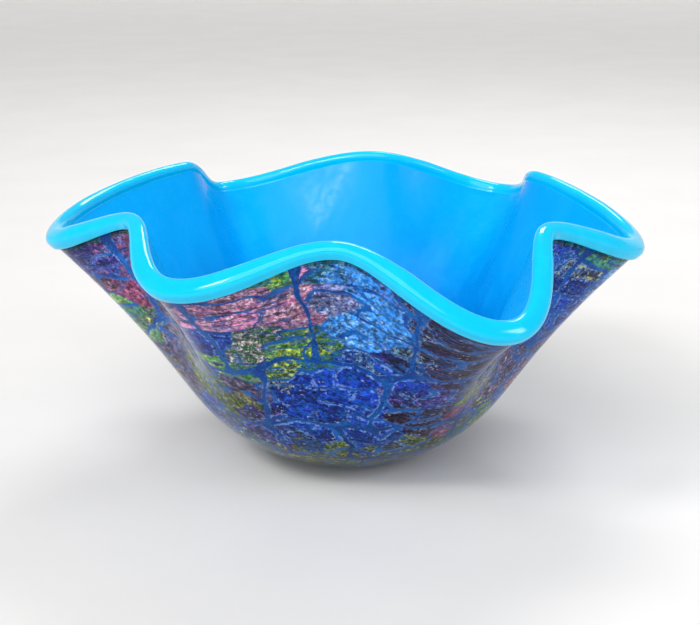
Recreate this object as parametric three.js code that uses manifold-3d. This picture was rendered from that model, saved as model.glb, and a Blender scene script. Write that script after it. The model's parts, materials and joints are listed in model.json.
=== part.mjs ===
// Hand-blown cased glass bowl with a ruffled rim and a crackled, frit-coloured skin.
// Millimetres, +Z up, standing on z = 0 with its axis on Z and its front toward -Y.
//
// The wall is one surface, wallPoint(azimuth, climb, depth), and each glass layer is a shell
// between two depths of it, so the layers stay parallel however the rim is ruffled.
import * as THREE from "three";
import { mergeVertices } from "three/addons/utils/BufferGeometryUtils.js";
import Module from "manifold-3d";

// Overall sizes
const RIM_RADIUS = 139; // mean radius of the lip's centre line
const RIM_HEIGHT = 126; // mean height of the lip's centre line above the inside of the flat
const BASE_RADIUS = 36; // flat ground bottom
const RUFFLE_REACH = 20; // how far the biggest flare leans out past the mean rim, roughly
const RUFFLE_LIFT = 14; // how far the biggest pinch rises over the mean rim, roughly
const RUFFLE_ONSET = 3.8; // power of the climb at which the ruffle sets in

// Layers, from inside to outside
const LINING = 2.7; // opaque turquoise casing
const UNDERLAY = 1.0; // cobalt casing, seen in the cracks
const SKIN = 1.0; // crackled plates
const OVERLAY = 1.4; // clear casing
const SEAM = 0.3; // clearance left between two layers
const LIP_SEAM = 0.5; // clearance left between the layers' edges and the lip's seat
const CRACK = 3.0; // width of a crack between two plates

// Rim and foot
const LIP_WIDTH = 11.4; // lip wrap, across the wall
const LIP_DEPTH = 9.0; // lip wrap, up the wall
const PAD_INSET = 5; // ground pontil pad, in from the edge of the flat bottom
const PAD_HEIGHT = 1.6;
const PAD_BEVEL = 0.5;

// Facets
const STEPS_PER_FOLD = 4; // columns from a flare to the next pinch
const ROWS = 8; // rows from the flat to the rim
const ROW_CROWDING = 1.2; // over 1, the rows draw together toward the rim
const CUT_STEPS = 3; // steps along each side of a plate's outline
const CUT_REACH = 5; // how far a plate's outline is carried past the skin before it cuts

// The folds, anticlockwise from the right: azimuth in degrees, then reach and lift as shares of
// RUFFLE_REACH and RUFFLE_LIFT. A flare leans out and dips, the pinch after it tucks in and rises.
const FOLDS = [
  { flare: [-13, 0.55, -0.6], pinch: [27, -0.85, 0.7] },
  { flare: [54, 1.1, -1.0], pinch: [83, -0.6, 0.65] },
  { flare: [122, 0.5, -0.85], pinch: [139, -0.5, 0.7] },
  { flare: [190, 0.7, -0.35], pinch: [213, -0.65, 0.95] },
  { flare: [237, 0.5, -0.45], pinch: [267, -0.5, 1.0] },
  { flare: [298, 0.85, -1.6], pinch: [322, -0.8, 0.7] },
];

// Depth 0 is the middle of the wall; depths grow outward.
const WALL = LINING + UNDERLAY + SKIN + OVERLAY + 3 * SEAM;
const LINING_IN = -WALL / 2;
const UNDERLAY_IN = LINING_IN + LINING + SEAM;
const SKIN_IN = UNDERLAY_IN + UNDERLAY + SEAM;
const OVERLAY_IN = SKIN_IN + SKIN + SEAM;
const OVERLAY_OUT = OVERLAY_IN + OVERLAY;
const FLAT_HEIGHT = PAD_HEIGHT + SEAM + OVERLAY_OUT; // depth 0 over the pad

const wasm = await Module();
wasm.setup();

// ---------------------------------------------------------------- wall surface

const knots = FOLDS.flatMap(({ flare, pinch }) => [flare, pinch]).map(([degrees, reach, lift]) => ({
  azimuth: THREE.MathUtils.degToRad(degrees),
  reach: reach * RUFFLE_REACH,
  lift: lift * RUFFLE_LIFT,
}));

// Reach and lift of the rim at an azimuth, eased from each knot to the next.
function ruffle(azimuth) {
  const turn = 2 * Math.PI;
  const start = knots[0].azimuth;
  const angle = start + THREE.MathUtils.euclideanModulo(azimuth - start, turn);
  let index = knots.length - 1;
  while (knots[index].azimuth > angle) index -= 1;
  const from = knots[index];
  const to = knots[(index + 1) % knots.length];
  const end = index + 1 < knots.length ? to.azimuth : to.azimuth + turn;
  const share = (angle - from.azimuth) / (end - from.azimuth);
  const ease = (1 - Math.cos(Math.PI * share)) / 2;
  return {
    reach: THREE.MathUtils.lerp(from.reach, to.reach, ease),
    lift: THREE.MathUtils.lerp(from.lift, to.lift, ease),
  };
}

// Mean section: a rounded belly that straightens into a flaring side. x is the radius, y the height.
const profile = new THREE.CubicBezierCurve(
  new THREE.Vector2(BASE_RADIUS, 0),
  new THREE.Vector2(0.655 * RIM_RADIUS, 0.2 * RIM_HEIGHT),
  new THREE.Vector2(0.54 * RIM_RADIUS, 0.295 * RIM_HEIGHT),
  new THREE.Vector2(RIM_RADIUS, RIM_HEIGHT),
);
const RIM_SPEED = 3 * profile.v3.distanceTo(profile.v2); // slant mm per unit of climb at the rim

// Point of the wall's middle: climb runs from 0 at the edge of the flat to 1 on the lip's centre line.
function middlePoint(azimuth, climb) {
  const section = profile.getPoint(climb);
  const { reach, lift } = ruffle(azimuth);
  const grown = Math.max(climb, 0) ** RUFFLE_ONSET;
  const radius = section.x + grown * reach;
  return new THREE.Vector3(
    radius * Math.cos(azimuth),
    radius * Math.sin(azimuth),
    FLAT_HEIGHT + section.y + grown * lift,
  );
}

function wallNormal(azimuth, climb) {
  const step = 1e-4;
  const around = middlePoint(azimuth + step, climb).sub(middlePoint(azimuth - step, climb));
  const up = middlePoint(azimuth, climb + step).sub(middlePoint(azimuth, climb - step));
  return around.cross(up).normalize();
}

function wallPoint(azimuth, climb, depth) {
  const offset = wallNormal(azimuth, climb);
  if (climb === 0) {
    // The edge of the flat is mitred between straight down and the wall's own normal.
    const down = new THREE.Vector3(0, 0, -1);
    const fullness = 1 + offset.dot(down);
    offset.add(down).divideScalar(fullness);
  }
  return middlePoint(azimuth, climb).addScaledVector(offset, depth);
}

const RIM_CLIMB = 1 - (LIP_DEPTH / 2 + LIP_SEAM) / RIM_SPEED; // where the layers end under the lip

const columns = knots.flatMap((knot, number) => {
  const next = knots[(number + 1) % knots.length].azimuth;
  const width = THREE.MathUtils.euclideanModulo(next - knot.azimuth, 2 * Math.PI);
  const step = width / STEPS_PER_FOLD;
  return Array.from({ length: STEPS_PER_FOLD }, (_, index) => knot.azimuth + step * index);
});
const rows = Array.from(
  { length: ROWS + 1 },
  (_, row) => RIM_CLIMB * (1 - (1 - row / ROWS) ** ROW_CROWDING),
);

// ---------------------------------------------------------------- meshes from grids

// Collects points and faces; a ring is a run of point numbers that closes on itself.
class FaceList {
  positions = [];
  faces = [];

  point(vector) {
    this.positions.push(vector.x, vector.y, vector.z);
    return this.positions.length / 3 - 1;
  }

  ring(azimuths, place) {
    return azimuths.map((azimuth) => this.point(place(azimuth)));
  }

  quad(a, b, c, d) {
    this.faces.push(a, b, c, a, c, d);
  }

  // Both ways round, a band splits each quad on the same diagonal, so that layers stay parallel.
  band(lower, upper, inward = false) {
    lower.forEach((corner, index) => {
      const next = (index + 1) % lower.length;
      if (inward) this.quad(upper[next], lower[next], corner, upper[index]);
      else this.quad(corner, lower[next], upper[next], upper[index]);
    });
  }

  fan(ring, centre) {
    ring.forEach((corner, index) => this.faces.push(centre, ring[(index + 1) % ring.length], corner));
  }

  geometry() {
    const made = new THREE.BufferGeometry();
    made.setAttribute("position", new THREE.Float32BufferAttribute(this.positions, 3));
    made.setIndex(this.faces);
    made.computeVertexNormals();
    return made;
  }
}

// A glass layer: a cup between two depths of the wall, closed across its flat bottom.
function layerGeometry(inside, outside) {
  const list = new FaceList();
  const ringAt = (climb, depth) => list.ring(columns, (azimuth) => wallPoint(azimuth, climb, depth));
  const surface = (depth) => rows.map((climb) => ringAt(climb, depth));
  const outer = surface(outside);
  const inner = surface(inside);
  for (let row = 0; row < ROWS; row += 1) {
    list.band(outer[row], outer[row + 1]);
    list.band(inner[row], inner[row + 1], true);
  }
  list.band(outer[ROWS], inner[ROWS]);
  const middle = (depth) => list.point(new THREE.Vector3(0, 0, FLAT_HEIGHT - depth));
  list.fan(outer[0], middle(outside));
  list.fan([...inner[0]].reverse(), middle(inside));
  return list.geometry();
}

// The lip wrap: a flat seat on the layers' edges, a crisp outer shoulder and a rounded crown.
// Each pair is a depth and a rise up the wall, as shares of half the lip's width and depth.
const LIP_SECTION = [
  [-0.92, -1],
  [0.92, -1],
  [1, -0.8],
  [0.98, 0.1],
  [0.78, 0.68],
  [0.36, 0.97],
  [-0.24, 1],
  [-0.72, 0.72],
  [-0.98, 0.15],
  [-1, -0.8],
];

function lipGeometry() {
  const list = new FaceList();
  const rings = LIP_SECTION.map(([depth, rise]) =>
    list.ring(columns, (azimuth) =>
      wallPoint(azimuth, 1 + (rise * LIP_DEPTH) / 2 / RIM_SPEED, (depth * LIP_WIDTH) / 2),
    ),
  );
  rings.forEach((ring, index) => list.band(ring, rings[(index + 1) % rings.length]));
  return list.geometry();
}

// ---------------------------------------------------------------- crackled plates

// The courses of plates, from the foot to the rim. low and high are climbs; the line between two
// courses swells by sway. shift staggers the cracks, and lean tilts them.
const COURSES = [
  { name: "foot", low: 0.03, high: 0.23, count: 8, shift: 0.1, lean: 0.1 },
  { name: "belly", low: 0.23, high: 0.5, count: 11, shift: 0.45, lean: -0.12 },
  { name: "shoulder", low: 0.5, high: 0.77, count: 12, shift: 0.2, lean: 0.16 },
  { name: "rim", low: 0.77, high: 1.05, count: 14, shift: 0.2, lean: -0.1 },
];
const COURSE_SWAY = 0.022;
const CRACK_SWAY = 0.16; // share of a plate's width by which a crack strays from even spacing

// Frit colours, in the order in which they pass round the bowl.
const FRIT = {
  pink: 0xa98da6,
  sky: 0x6fa4db,
  leaf: 0x59846d,
  cobalt: 0x184797,
  plum: 0x302a42,
  violet: 0x4d5fae,
};
const COURSE_FRIT = {
  foot: ["cobalt", "cobalt", "leaf", "cobalt", "leaf", "leaf", "leaf", "violet"],
  belly: [
    "plum", "cobalt", "violet", "leaf", "plum", "cobalt",
    "cobalt", "leaf", "violet", "leaf", "violet",
  ],
  shoulder: [
    "leaf", "cobalt", "pink", "violet", "cobalt", "pink",
    "leaf", "leaf", "cobalt", "cobalt", "pink", "pink",
  ],
  rim: [
    "cobalt", "violet", "pink", "sky", "cobalt", "pink", "sky",
    "leaf", "violet", "pink", "sky", "plum", "sky", "sky",
  ],
};

function courseLine(climb, azimuth) {
  const sway = Math.sin(5 * azimuth + 9 * climb) + Math.sin(8 * azimuth + 21 * climb);
  return climb + COURSE_SWAY * climb * sway;
}

function crackAzimuth(course, index, rise) {
  const phase = 2.4 * (index % course.count) + 7 * course.shift + 3 * course.high;
  const stray = CRACK_SWAY * Math.sin(phase);
  return ((index + course.shift + stray + course.lean * rise) * 2 * Math.PI) / course.count;
}

function solidOf(geometry) {
  const bare = geometry.clone();
  bare.deleteAttribute("normal");
  bare.deleteAttribute("uv");
  const merged = mergeVertices(bare, 1e-4);
  const mesh = new wasm.Mesh({
    numProp: 3,
    vertProperties: merged.attributes.position.array,
    triVerts: new Uint32Array(merged.index.array),
  });
  return new wasm.Manifold(mesh);
}

function geometryOf(solid) {
  const mesh = solid.getMesh();
  const made = new THREE.BufferGeometry();
  made.setAttribute("position", new THREE.BufferAttribute(mesh.vertProperties, 3));
  made.setIndex(new THREE.BufferAttribute(mesh.triVerts, 1));
  made.computeVertexNormals();
  return made;
}

// A block of wall bounded by four crack lines, deep enough to pass right through the skin.
function plateCutter(course, index) {
  const radiusAt = (azimuth, climb) => {
    const place = middlePoint(azimuth, climb);
    return Math.hypot(place.x, place.y);
  };
  const place = (across, rise) => {
    const climb = THREE.MathUtils.lerp(course.low, course.high, rise);
    const from = crackAzimuth(course, index, rise);
    const to = crackAzimuth(course, index + 1, rise);
    const trim = CRACK / 2 / radiusAt(from, climb);
    const azimuth = THREE.MathUtils.lerp(from + trim, to - trim, across);
    const slantSpeed = middlePoint(azimuth, climb + 0.01).distanceTo(middlePoint(azimuth, climb)) / 0.01;
    const crackShare = CRACK / 2 / slantSpeed;
    const low = courseLine(course.low, azimuth) + crackShare;
    const high = courseLine(course.high, azimuth) - crackShare;
    return { azimuth, climb: THREE.MathUtils.lerp(low, high, rise) };
  };
  const list = new FaceList();
  const sheets = [SKIN_IN - CUT_REACH, SKIN_IN + SKIN + CUT_REACH].map((depth) =>
    Array.from({ length: CUT_STEPS + 1 }, (_, up) =>
      Array.from({ length: CUT_STEPS + 1 }, (_, along) => {
        const { azimuth, climb } = place(along / CUT_STEPS, up / CUT_STEPS);
        return list.point(wallPoint(azimuth, climb, depth));
      }),
    ),
  );
  const [back, front] = sheets;
  for (let up = 0; up < CUT_STEPS; up += 1) {
    for (let along = 0; along < CUT_STEPS; along += 1) {
      list.quad(front[up][along], front[up][along + 1], front[up + 1][along + 1], front[up + 1][along]);
      list.quad(back[up][along], back[up + 1][along], back[up + 1][along + 1], back[up][along + 1]);
    }
    list.quad(back[up][0], front[up][0], front[up + 1][0], back[up + 1][0]);
    list.quad(front[up][CUT_STEPS], back[up][CUT_STEPS], back[up + 1][CUT_STEPS], front[up + 1][CUT_STEPS]);
    list.quad(back[0][up], back[0][up + 1], front[0][up + 1], front[0][up]);
    list.quad(front[CUT_STEPS][up], front[CUT_STEPS][up + 1], back[CUT_STEPS][up + 1], back[CUT_STEPS][up]);
  }
  return solidOf(list.geometry());
}

const skin = solidOf(layerGeometry(SKIN_IN, SKIN_IN + SKIN));

function basePlateGeometry() {
  const radius = BASE_RADIUS - CRACK;
  const cutter = new THREE.CylinderGeometry(radius, radius, 2 * FLAT_HEIGHT, 24).rotateX(Math.PI / 2);
  return geometryOf(skin.intersect(solidOf(cutter)));
}

function padGeometry() {
  const radius = BASE_RADIUS - PAD_INSET;
  const outline = [
    new THREE.Vector2(0, 0),
    new THREE.Vector2(radius - PAD_BEVEL, 0),
    new THREE.Vector2(radius, PAD_BEVEL),
    new THREE.Vector2(radius, PAD_HEIGHT),
    new THREE.Vector2(0, PAD_HEIGHT),
  ];
  return new THREE.LatheGeometry(outline, 36).rotateX(Math.PI / 2);
}

// ---------------------------------------------------------------- the bowl

const bowl = new THREE.Group();

function add(name, geometry, color, roughness) {
  const material = new THREE.MeshStandardMaterial({ color, roughness, metalness: 0 });
  const mesh = new THREE.Mesh(geometry, material);
  mesh.name = name;
  bowl.add(mesh);
}

add("turquoise_lining", layerGeometry(LINING_IN, LINING_IN + LINING), 0x02bff6, 0.08);
add("cobalt_underlay", layerGeometry(UNDERLAY_IN, UNDERLAY_IN + UNDERLAY), 0x0d55b0, 0.15);

for (const course of COURSES) {
  const colours = COURSE_FRIT[course.name];
  for (let index = 0; index < course.count; index += 1) {
    const name = `${course.name}_plate_${String(index + 1).padStart(2, "0")}`;
    const solid = skin.intersect(plateCutter(course, index));
    add(name, geometryOf(solid), FRIT[colours[index % colours.length]], 0.35);
  }
}
add("base_plate", basePlateGeometry(), FRIT.cobalt, 0.35);

const overlay = new THREE.MeshStandardMaterial({
  color: 0xf4fbff,
  roughness: 0.03,
  metalness: 0,
  transparent: true,
  opacity: 0.2,
});
const overlayMesh = new THREE.Mesh(layerGeometry(OVERLAY_IN, OVERLAY_OUT), overlay);
overlayMesh.name = "clear_overlay";
bowl.add(overlayMesh);

add("lip_wrap", lipGeometry(), 0x06cdf8, 0.06);

add("pontil_pad", padGeometry(), 0xd9eef6, 0.1);

export default bowl;
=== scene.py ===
"""Looks for a hand-blown, cased glass bowl with a ruffled rim and a crackled, frit-coloured skin.

The wall is one surface given by azimuth, climb and depth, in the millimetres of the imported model.
Every glass layer is a sheet between two depths of that surface, so each fine piece lies where the
solid it stands for lies. Meshes are written in metres, +Z up, with the bowl's front toward -Y.
"""

from __future__ import annotations

import json
import logging
import math
from collections.abc import Iterator
from dataclasses import dataclass, field
from enum import Enum, IntEnum

import bpy
import numpy as np
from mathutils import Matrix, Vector

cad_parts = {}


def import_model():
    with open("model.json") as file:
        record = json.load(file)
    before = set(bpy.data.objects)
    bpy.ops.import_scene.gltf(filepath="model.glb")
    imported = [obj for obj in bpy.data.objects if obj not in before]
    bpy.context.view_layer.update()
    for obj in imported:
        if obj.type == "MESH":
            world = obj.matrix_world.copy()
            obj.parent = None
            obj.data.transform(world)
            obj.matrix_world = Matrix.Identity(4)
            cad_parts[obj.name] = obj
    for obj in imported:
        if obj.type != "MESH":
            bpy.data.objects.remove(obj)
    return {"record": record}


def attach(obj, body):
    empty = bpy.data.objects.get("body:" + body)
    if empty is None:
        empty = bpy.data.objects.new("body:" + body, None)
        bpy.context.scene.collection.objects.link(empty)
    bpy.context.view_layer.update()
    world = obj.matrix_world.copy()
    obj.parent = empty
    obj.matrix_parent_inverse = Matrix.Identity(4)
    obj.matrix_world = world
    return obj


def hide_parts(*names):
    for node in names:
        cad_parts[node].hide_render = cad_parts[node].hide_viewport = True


LOG = logging.getLogger("glass_bowl")
MM = 0.001
TURN = 2.0 * math.pi
# climb of the innermost ring across the flat bottom, which a fan of triangles closes
INNERMOST = -0.985

Array = np.ndarray
Rgb = tuple[float, float, float]
Triple = tuple[float, float, float]


def glass_colour(red: int, green: int, blue: int) -> Rgb:
    """A display colour as the linear values that a shader takes.

    Args:
        red: 0 to 255.
        green: 0 to 255.
        blue: 0 to 255.

    Returns:
        The three channels out of the sRGB display curve, 0 to 1.
    """
    shares = (red / 255.0, green / 255.0, blue / 255.0)
    return tuple(share / 12.92 if share <= 0.04045 else ((share + 0.055) / 1.055) ** 2.4 for share in shares)


# ------------------------------------------------------------------ scatter and noise


class Salt(IntEnum):
    """Numbers that tell one field of scatter or noise from another."""

    SHEET_SWELL = 5
    SEED_ALONG = 11
    SEED_UP = 12
    BEND_ALONG = 21
    BEND_ALONG_FINE = 22
    BEND_UP = 23
    BEND_UP_FINE = 24
    BEND_ALONG_RAGGED = 25
    BEND_UP_RAGGED = 26
    CRACK_WIDTH = 31
    SHARD_TONE = 41
    SHARD_MIX = 42
    COURSE_RAGGED = 51
    COURSE_FINE = 52
    CRACK_RAGGED = 53
    CRACK_FINE = 54
    GAP = 55
    PLATE_SWELL = 61
    LIP_UNEVEN = 71
    FRIT_DRIFT = 81
    FRIT_DRIFT_FINE = 82


def scatter(column: Array, row: Array, salt: int) -> Array:
    """Even pseudo-random shares for whole-number places.

    Args:
        column: whole numbers.
        row: whole numbers.
        salt: tells one scatter from another.

    Returns:
        A value from 0 to 1 for each place, the same on every run.
    """
    mixed = (column * 374761393 + row * 668265263 + salt * 982451653) & 0xFFFFFFFF
    mixed = ((mixed ^ (mixed >> 13)) * 1274126177) & 0xFFFFFFFF
    return ((mixed ^ (mixed >> 16)) & 0xFFFFFF) / float(0xFFFFFF)


def soft_noise(x: Array, y: Array, period: int, salt: int) -> Array:
    """Smooth lattice noise that repeats along x.

    Args:
        x: place along the turn, in lattice steps.
        y: place up the wall, in lattice steps.
        period: lattice steps in a full turn.
        salt: tells one field from another.

    Returns:
        Values from -1 to 1.
    """
    left = np.floor(x).astype(np.int64)
    low = np.floor(y).astype(np.int64)
    fx, fy = x - left, y - low
    fx, fy = fx * fx * (3 - 2 * fx), fy * fy * (3 - 2 * fy)
    near, far = np.mod(left, period), np.mod(left + 1, period)
    bottom = scatter(near, low, salt) * (1 - fx) + scatter(far, low, salt) * fx
    top = scatter(near, low + 1, salt) * (1 - fx) + scatter(far, low + 1, salt) * fx
    return 2 * (bottom * (1 - fy) + top * fy) - 1


def ring_noise(azimuth: Array, lumps: int, y: Array, salt: int) -> Array:
    """Smooth noise, -1 to 1, with a whole number of lattice steps round the bowl."""
    return soft_noise(azimuth / TURN * lumps, y, lumps, salt)


def ramp(value: Array, start: float, end: float) -> Array:
    """A smooth step from 0 at start to 1 at end."""
    share = np.clip((value - start) / (end - start), 0, 1)
    return share * share * (3 - 2 * share)


# ------------------------------------------------------------------ the wall


@dataclass(frozen=True)
class Fold:
    """One flare of the rim and the pinch after it, anticlockwise from the right.

    Each is an azimuth in degrees, then reach and lift as shares of the wall's own.
    """

    flare: Triple
    pinch: Triple


FOLDS = (
    Fold((-13, 0.55, -0.6), (27, -0.85, 0.7)),
    Fold((54, 1.1, -1.0), (83, -0.6, 0.65)),
    Fold((122, 0.5, -0.85), (139, -0.5, 0.7)),
    Fold((190, 0.7, -0.35), (213, -0.65, 0.95)),
    Fold((237, 0.5, -0.45), (267, -0.5, 1.0)),
    Fold((298, 0.85, -1.6), (322, -0.8, 0.7)),
)


@dataclass
class Wall:
    """The ruffled wall. Climb is -1 at the axis, 0 at the edge of the flat and 1 on the lip's line.

    The bends are the mean section's two inner control points, as shares of the rim's radius and height.
    """

    rim_radius: float = 139.0
    rim_height: float = 126.0
    base_radius: float = 36.0
    lower_bend: tuple[float, float] = (0.655, 0.2)
    upper_bend: tuple[float, float] = (0.54, 0.295)
    reach: float = 20.0
    lift: float = 14.0
    onset: float = 3.8
    lining: float = 2.7
    underlay: float = 1.0
    skin: float = 1.0
    overlay: float = 1.4
    seam: float = 0.3
    lip_seam: float = 0.5
    lip_width: float = 11.4
    lip_depth: float = 9.0
    pad_height: float = 1.6
    pad_inset: float = 5.0
    table_steps: int = 401
    folds: tuple[Fold, ...] = FOLDS

    def __post_init__(self) -> None:
        """Works out the layer depths, the section and the slant table."""
        thickness = self.lining + self.underlay + self.skin + self.overlay + 3 * self.seam
        self.lining_in = -thickness / 2
        self.underlay_in = self.lining_in + self.lining + self.seam
        self.skin_in = self.underlay_in + self.underlay + self.seam
        self.overlay_in = self.skin_in + self.skin + self.seam
        self.overlay_out = self.overlay_in + self.overlay
        self.flat_height = self.pad_height + self.seam + self.overlay_out
        rim = np.array([self.rim_radius, self.rim_height])
        bends = [np.array(bend) * rim for bend in (self.lower_bend, self.upper_bend)]
        self.corners = np.array([[self.base_radius, 0.0], *bends, rim])
        self.rim_speed = 3 * float(np.hypot(*(self.corners[3] - self.corners[2])))
        self.rim_climb = 1 - (self.lip_depth / 2 + self.lip_seam) / self.rim_speed
        knots = [knot for fold in self.folds for knot in (fold.flare, fold.pinch)]
        angles = np.radians([knot[0] for knot in knots])
        self.knot_angle = np.append(angles, angles[0] + TURN)
        self.knot_reach = np.array([knot[1] for knot in knots + knots[:1]]) * self.reach
        self.knot_lift = np.array([knot[2] for knot in knots + knots[:1]]) * self.lift
        self.table_climb = np.linspace(0, 1, self.table_steps)
        section = self.section(self.table_climb)
        lengths = np.hypot(*np.diff(section, axis=0).T)
        self.table_slant = np.concatenate([[0.0], np.cumsum(lengths)])

    def section(self, climb: Array) -> Array:
        """The mean section, along a cubic curve.

        Args:
            climb: places up the wall, from 0.

        Returns:
            Radius and height along the last axis, in mm.
        """
        t = np.asarray(climb, float)[..., None]
        p0, p1, p2, p3 = self.corners
        return (1 - t) ** 3 * p0 + 3 * (1 - t) ** 2 * t * p1 + 3 * (1 - t) * t * t * p2 + t**3 * p3

    def slant(self, climb: Array) -> Array:
        """Length up the mean section, in mm, from the edge of the flat."""
        return np.interp(climb, self.table_climb, self.table_slant)

    def climb_at(self, slant: Array) -> Array:
        """The climb at a length up the mean section."""
        return np.interp(slant, self.table_slant, self.table_climb)

    def ruffle(self, azimuth: Array) -> tuple[Array, Array]:
        """How the rim is folded.

        Args:
            azimuth: radians.

        Returns:
            How far the rim reaches out and how far it lifts, in mm.
        """
        angle = np.mod(azimuth - self.knot_angle[0], TURN) + self.knot_angle[0]
        index = np.searchsorted(self.knot_angle, angle, side="right") - 1
        index = np.clip(index, 0, len(self.knot_angle) - 2)
        width = self.knot_angle[index + 1] - self.knot_angle[index]
        ease = (1 - np.cos(np.pi * (angle - self.knot_angle[index]) / width)) / 2
        reach = self.knot_reach[index] * (1 - ease) + self.knot_reach[index + 1] * ease
        lift = self.knot_lift[index] * (1 - ease) + self.knot_lift[index + 1] * ease
        return reach, lift

    def middle(self, azimuth: Array, climb: Array) -> Array:
        """Points of the wall's middle surface.

        Args:
            azimuth: radians, anticlockwise from +X.
            climb: place up the wall.

        Returns:
            x, y and z along the last axis, in mm.
        """
        azimuth, climb = np.broadcast_arrays(np.asarray(azimuth, float), np.asarray(climb, float))
        reach, lift = self.ruffle(azimuth)
        up = np.maximum(climb, 0)
        section = self.section(up)
        grown = up**self.onset
        radius = section[..., 0] + grown * reach + np.minimum(climb, 0) * self.base_radius
        height = self.flat_height + section[..., 1] + grown * lift
        return np.stack([radius * np.cos(azimuth), radius * np.sin(azimuth), height], -1)

    def normal(self, azimuth: Array, climb: Array) -> Array:
        """Outward directions of the wall; straight down across the flat, mitred at its edge.

        Args:
            azimuth: radians.
            climb: place up the wall.

        Returns:
            Directions along the last axis, of length 1 but for the mitre.
        """
        step = 1e-4
        azimuth, climb = np.broadcast_arrays(np.asarray(azimuth, float), np.asarray(climb, float))
        above = np.maximum(climb, 0) + step
        around = self.middle(azimuth + step, above) - self.middle(azimuth - step, above)
        rise = self.middle(azimuth, above + step) - self.middle(azimuth, above)
        out = np.cross(around, rise)
        out /= np.linalg.norm(out, axis=-1, keepdims=True)
        down = np.array([0.0, 0.0, -1.0])
        mitre = (out + down) / (1 - out[..., 2:])
        out = np.where((climb < 0)[..., None], down, out)
        return np.where((climb == 0)[..., None], mitre, out)

    def point(self, azimuth: Array, climb: Array, depth: Array | float) -> Array:
        """Points at a depth from the wall's middle, in mm, growing outward."""
        return self.middle(azimuth, climb) + self.normal(azimuth, climb) * np.asarray(depth)[..., None]


# ------------------------------------------------------------------ meshes


def make_object(name: str, points: Array, faces: list[Array], sharp: float = 40.0) -> bpy.types.Object:
    """Builds a smooth-shaded mesh object.

    Args:
        name: the piece's name.
        points: vertices in mm, one per row.
        faces: arrays of vertex numbers, each of quads or of triangles.
        sharp: edges that turn by more than this, in degrees, stay crisp.

    Returns:
        The new object, linked to the scene.
    """
    mesh = bpy.data.meshes.new(name)
    mesh.vertices.add(len(points))
    mesh.vertices.foreach_set("co", (points * MM).astype(np.float32).ravel())
    corners = np.concatenate([block.ravel() for block in faces])
    totals = np.concatenate([np.full(len(block), block.shape[1]) for block in faces])
    starts = np.concatenate([[0], np.cumsum(totals)[:-1]])
    mesh.loops.add(len(corners))
    mesh.loops.foreach_set("vertex_index", corners.astype(np.int32))
    mesh.polygons.add(len(totals))
    mesh.polygons.foreach_set("loop_start", starts.astype(np.int32))
    mesh.update(calc_edges=True)
    mesh.polygons.foreach_set("use_smooth", np.ones(len(totals), bool))
    mesh.set_sharp_from_angle(angle=math.radians(sharp))
    made = bpy.data.objects.new(name, mesh)
    bpy.context.scene.collection.objects.link(made)
    return made


class Store(Enum):
    """Kinds of number that a mesh stores on its vertices: type, property and width."""

    VALUE = ("FLOAT", "value", 1)
    COLOUR = ("FLOAT_COLOR", "color", 3)
    VECTOR = ("FLOAT_VECTOR", "vector", 3)

    def put(self, made: bpy.types.Object, name: str, values: Array) -> None:
        """Stores values on an object's vertices.

        Args:
            made: the object.
            name: the name that a finish reads them by.
            values: one row, or one number, per vertex.
        """
        kind, key, width = self.value
        full = values.reshape(-1, width)
        if self is Store.COLOUR:
            full = np.concatenate([full, np.ones((len(full), 1))], axis=1)
        layer = made.data.attributes.new(name, kind, "POINT")
        layer.data.foreach_set(key, full.astype(np.float32).ravel())


def net(rows: int, columns: int, closed: bool, start: int = 0) -> Array:
    """Quads of a net of points stored row by row, facing outward for rows that climb.

    Args:
        rows: rows of points.
        columns: points in a row.
        closed: whether each row joins its own start.
        start: number of the first point.

    Returns:
        One quad per row of the array.
    """
    across = np.arange(columns if closed else columns - 1)
    low, left = np.meshgrid(np.arange(rows - 1), across, indexing="ij")
    right = (left + 1) % columns
    above = low + 1
    quads = [low * columns + left, low * columns + right, above * columns + right, above * columns + left]
    return np.stack(quads, axis=-1).reshape(-1, 4) + start


def strip(lower: int, upper: int, columns: int) -> Array:
    """Quads from one closed ring of points to another, given each ring's first point."""
    here = np.arange(columns)
    after = (here + 1) % columns
    return np.stack([lower + here, lower + after, upper + after, upper + here], -1)


def fan(pole: int, ring: int, columns: int, over: bool) -> Array:
    """Triangles that close a ring of points.

    Args:
        pole: number of the point in its middle.
        ring: number of the ring's first point.
        columns: points in the ring.
        over: whether they face the way the ring turns, as on a top, or the other way.

    Returns:
        One triangle per row of the array.
    """
    here = ring + np.arange(columns)
    after = ring + (np.arange(columns) + 1) % columns
    return np.stack([np.full(columns, pole), *((here, after) if over else (after, here))], -1)


def cup(rows: int, columns: int) -> list[Array]:
    """Faces of a closed cup.

    Args:
        rows: rows of points on each side, from the middle of the bottom outward and up.
        columns: points in a row.

    Returns:
        Faces for the outer side's points, then the inner side's, then the outer and the inner pole.
    """
    size = rows * columns
    top = size - columns
    sides = [net(rows, columns, True), net(rows, columns, True, size)[:, ::-1]]
    poles = [fan(2 * size, 0, columns, False), fan(2 * size + 1, size, columns, True)]
    return [*sides, strip(top, size + top, columns), *poles]


def ring_angles(columns: int) -> Array:
    """The azimuths of a closed ring's columns."""
    return np.linspace(0, TURN, columns, endpoint=False)


def revolve(profile: Array, columns: int) -> Array:
    """Turns a profile about the axis.

    Args:
        profile: radius and height, one pair per row.
        columns: points in a turn.

    Returns:
        Points, row by row.
    """
    turn, radius = np.meshgrid(ring_angles(columns), profile[:, 0])
    height = np.broadcast_to(profile[:, 1:], radius.shape)
    return np.stack([radius * np.cos(turn), radius * np.sin(turn), height], -1).reshape(-1, 3)


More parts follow.
